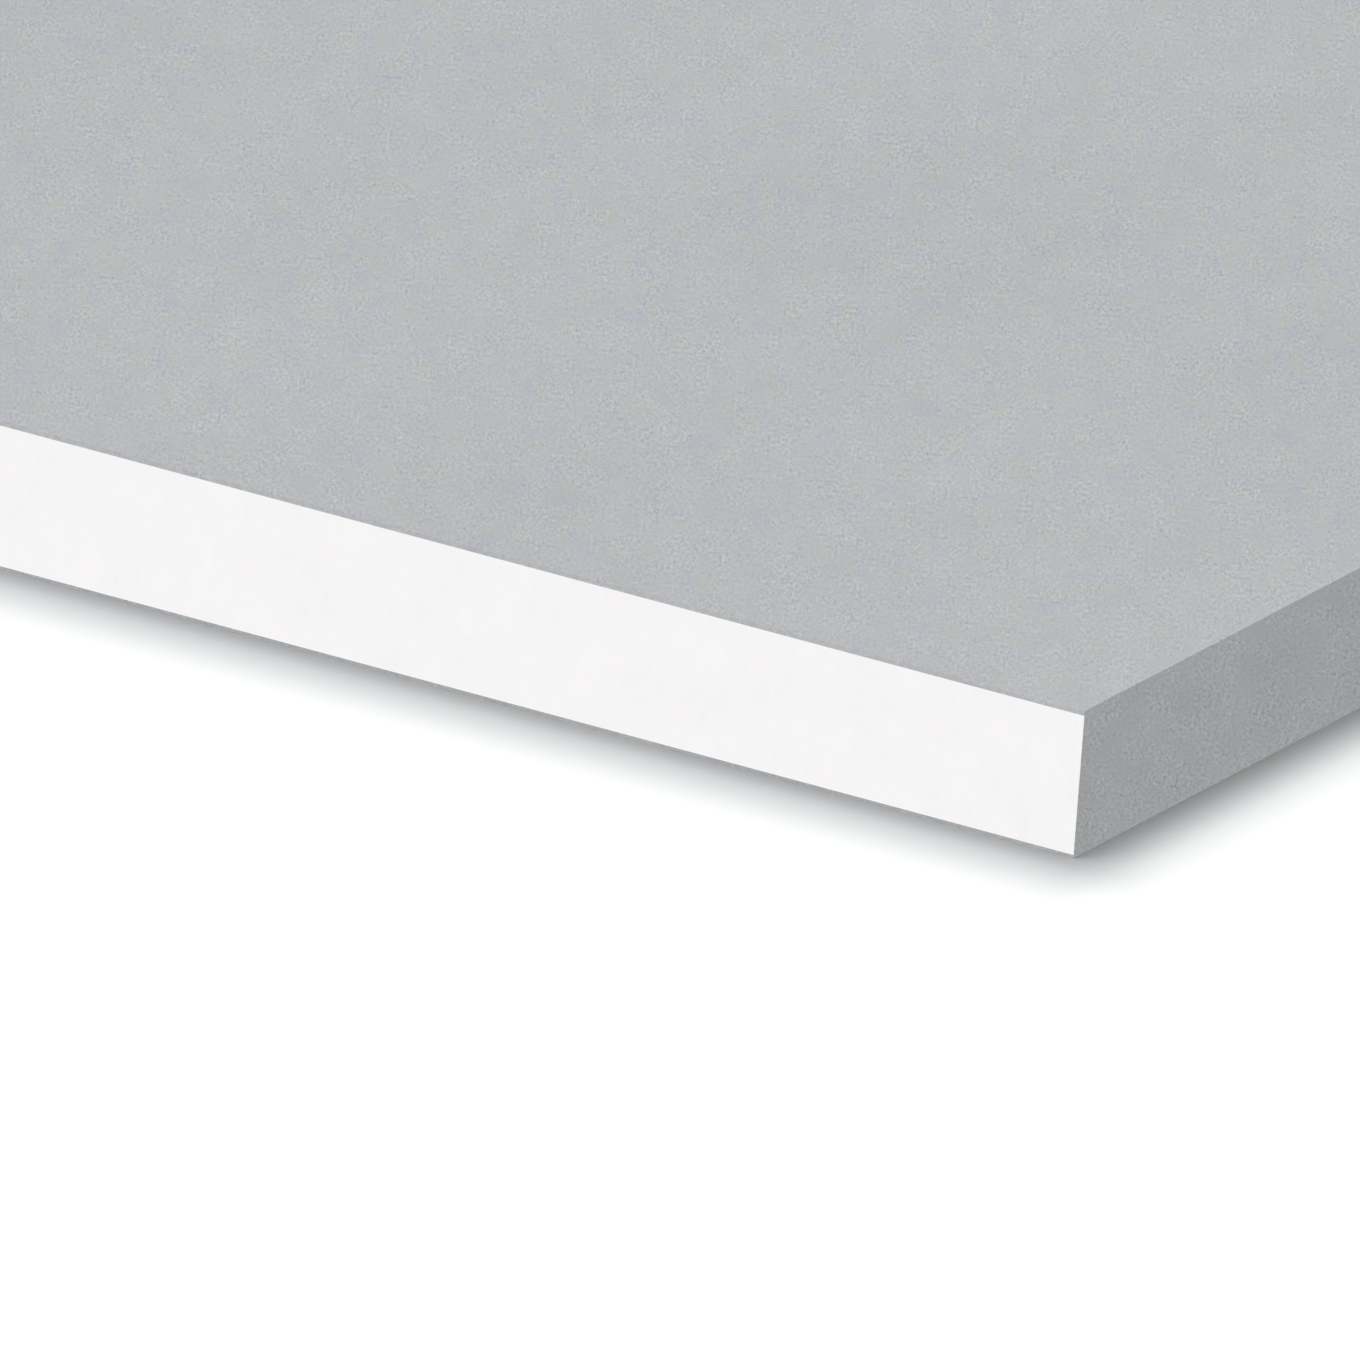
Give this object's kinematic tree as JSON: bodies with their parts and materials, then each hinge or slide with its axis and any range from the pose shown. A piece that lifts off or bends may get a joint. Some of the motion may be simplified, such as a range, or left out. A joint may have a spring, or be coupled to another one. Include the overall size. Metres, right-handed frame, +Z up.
{
  "type": "gypsum fiberboard",
  "caption": "Flat rectangular gypsum fiberboard sheet with square edges, grey pressed faces and white sawn ends, for lining walls, ceilings and floors.",
  "frame": {"origin": "centre of the back face, which lies on the floor", "axes": "+X across the width, +Y along the length, +Z up, out of the front face"},
  "size_m": [1, 1.5, 0.0125],
  "materials": {
    "board": "matte"
  },
  "bodies": {
    "root": {"board": "board"}
  },
  "joints": []
}
